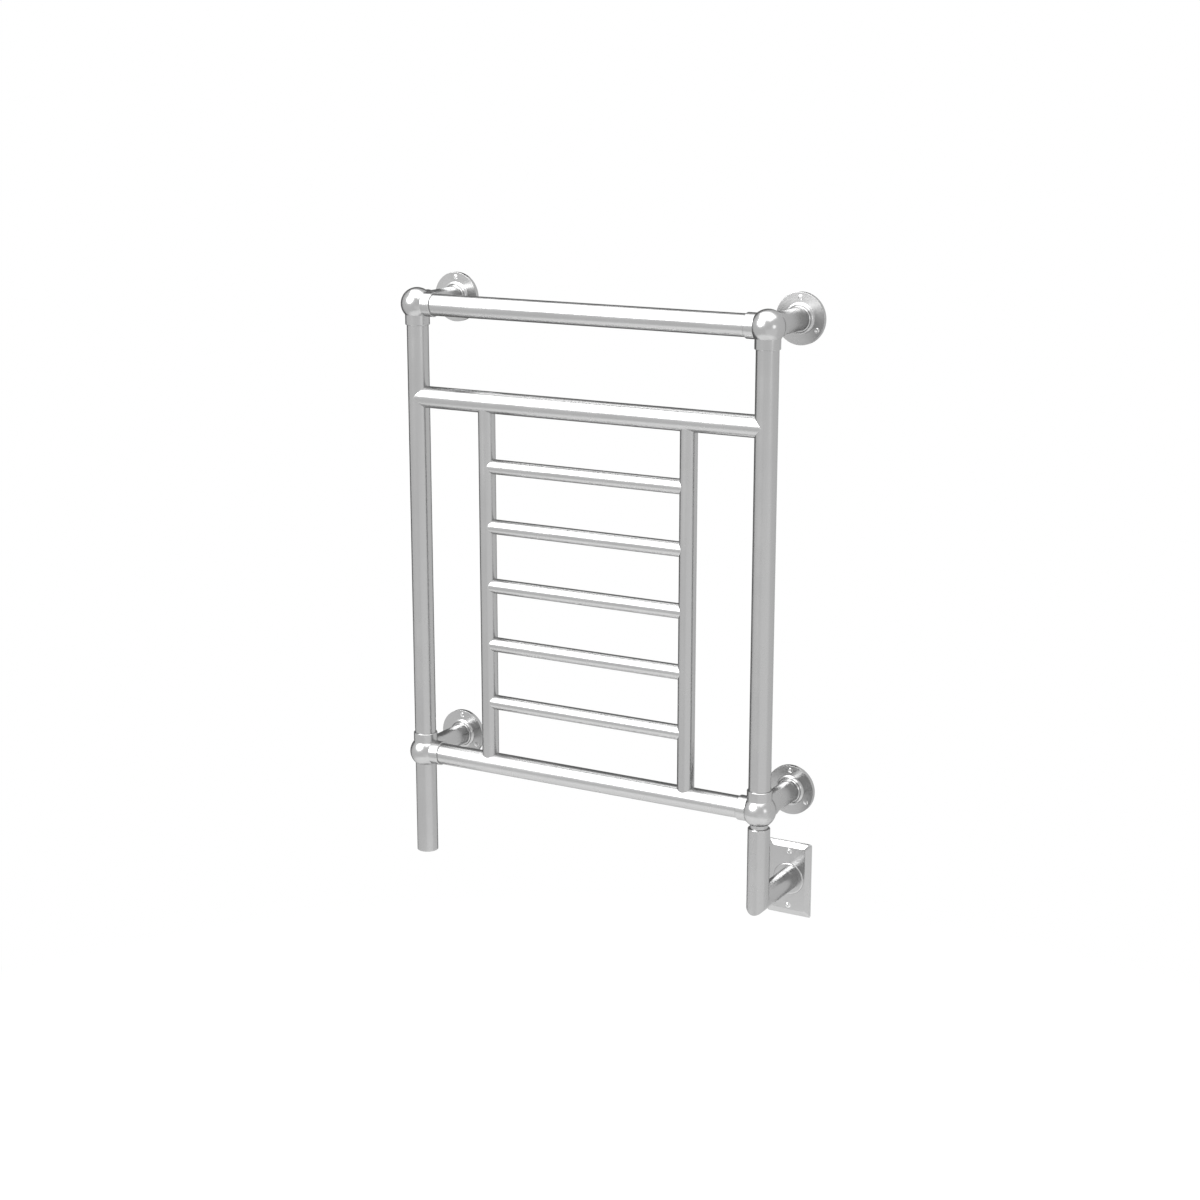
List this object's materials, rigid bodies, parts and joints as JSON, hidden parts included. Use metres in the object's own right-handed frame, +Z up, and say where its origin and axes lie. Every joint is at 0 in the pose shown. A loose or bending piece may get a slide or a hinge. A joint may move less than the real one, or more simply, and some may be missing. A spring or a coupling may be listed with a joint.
{
  "type": "towel warmer rack",
  "caption": "Wall-hung towel warmer: a ladder of round tubes between ball corners, held off the wall by arms on round flanges, with an elbow and cover plate for the supply leads.",
  "frame": {"origin": "on the wall plane, at the centre of the rectangle that the uppermost screw holes of the four wall flanges make", "axes": "+X along the rails to the right as seen from the room, +Y from the room into the wall, +Z up along the posts"},
  "size_m": [0.6374, 0.1333, 0.9139],
  "materials": {
    "polished_metal": "polished",
    "element_sheath": "satin"
  },
  "bodies": {
    "rack": {"post_left": "polished_metal", "post_right": "polished_metal", "top_rail": "polished_metal", "second_rail": "polished_metal", "bottom_rail": "polished_metal", "stile_left": "polished_metal", "stile_right": "polished_metal", "rung_1": "polished_metal", "rung_2": "polished_metal", "rung_3": "polished_metal", "rung_4": "polished_metal", "rung_5": "polished_metal", "corner_balls": "polished_metal", "bracket_arms": "polished_metal", "wall_flanges": "polished_metal", "left_leg": "polished_metal", "leg_plug": "polished_metal", "heating_element": "element_sheath"},
    "elbow": {"elbow_body": "polished_metal", "outlet_run": "polished_metal"},
    "plate": {"trim_ring": "polished_metal", "cover_plate": "polished_metal"}
  },
  "joints": [
    {"name": "elbow_swivel", "type": "hinge", "parent": "rack", "child": "elbow", "pos_m": [0.282, -0.1093, -0.408], "axis": [0, 0, 1], "range_deg": [-90, 90]},
    {"name": "cover_plate_slide", "type": "slide", "parent": "elbow", "child": "plate", "axis": [0, -1, 0], "range_m": [0, 0.084]}
  ]
}
